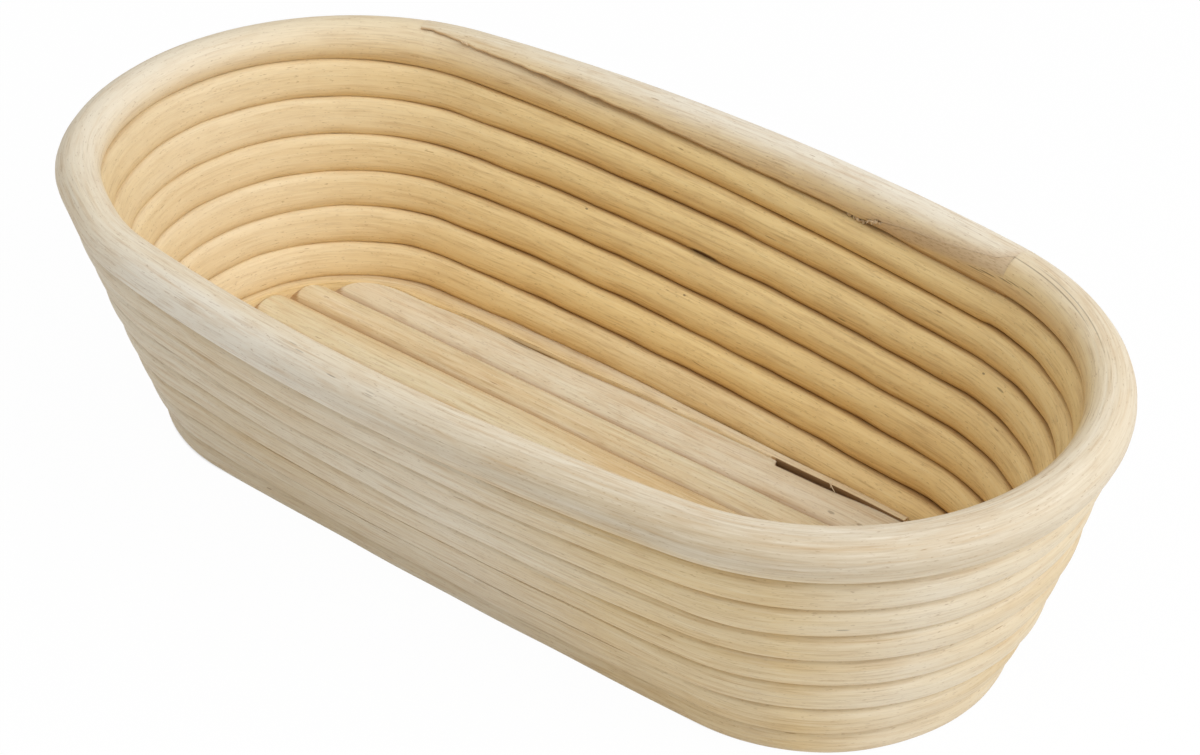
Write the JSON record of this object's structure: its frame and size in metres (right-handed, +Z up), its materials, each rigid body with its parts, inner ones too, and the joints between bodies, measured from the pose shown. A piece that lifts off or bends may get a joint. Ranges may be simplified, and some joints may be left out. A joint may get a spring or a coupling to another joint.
{
  "type": "proofing basket",
  "caption": "Long oval rattan proofing basket: a flared wall wound from one round cane, a thicker rim closed with a scarf joint, and a floor of straight canes, for shaping bread dough.",
  "frame": {"origin": "on the table under the middle of the basket", "axes": "+Z up out of the open top; +X along the length; +Y towards the long side where the winding starts and ends"},
  "size_m": [0.28, 0.149, 0.0747],
  "materials": {
    "wall_cane": "natural satin rattan core",
    "rim_cane": "natural satin rattan core, paler",
    "floor_cane": "natural matte rattan core",
    "pin_wire": "bright wire"
  },
  "bodies": {
    "root": {"closing_cane": "rim_cane", "coil_cane": "wall_cane", "floor_cane_1": "floor_cane", "floor_cane_2": "floor_cane", "floor_cane_3": "floor_cane", "floor_cane_4": "floor_cane", "floor_cane_5": "floor_cane", "floor_cane_6": "floor_cane", "floor_cane_7": "floor_cane", "floor_pin_1_left": "pin_wire", "floor_pin_1_right": "pin_wire", "floor_pin_2_left": "pin_wire", "floor_pin_2_right": "pin_wire", "floor_pin_3_left": "pin_wire", "floor_pin_3_right": "pin_wire", "floor_pin_4_left": "pin_wire", "floor_pin_4_right": "pin_wire", "floor_pin_5_left": "pin_wire", "floor_pin_5_right": "pin_wire", "floor_pin_6_left": "pin_wire", "floor_pin_6_right": "pin_wire", "floor_pin_7_left": "pin_wire", "floor_pin_7_right": "pin_wire", "scarf_pin": "pin_wire", "tip_pin": "pin_wire", "wall_pin_1_1": "pin_wire", "wall_pin_1_2": "pin_wire", "wall_pin_1_3": "pin_wire", "wall_pin_1_4": "pin_wire", "wall_pin_2_1": "pin_wire", "wall_pin_2_2": "pin_wire", "wall_pin_2_3": "pin_wire", "wall_pin_2_4": "pin_wire", "wall_pin_3_1": "pin_wire", "wall_pin_3_2": "pin_wire", "wall_pin_3_3": "pin_wire", "wall_pin_3_4": "pin_wire", "wall_pin_4_1": "pin_wire", "wall_pin_4_2": "pin_wire", "wall_pin_4_3": "pin_wire", "wall_pin_4_4": "pin_wire", "wall_pin_5_1": "pin_wire", "wall_pin_5_2": "pin_wire", "wall_pin_5_3": "pin_wire", "wall_pin_5_4": "pin_wire", "wall_pin_6_1": "pin_wire", "wall_pin_6_2": "pin_wire", "wall_pin_6_3": "pin_wire", "wall_pin_6_4": "pin_wire", "wall_pin_7_1": "pin_wire", "wall_pin_7_2": "pin_wire", "wall_pin_7_3": "pin_wire", "wall_pin_7_4": "pin_wire"}
  },
  "joints": []
}
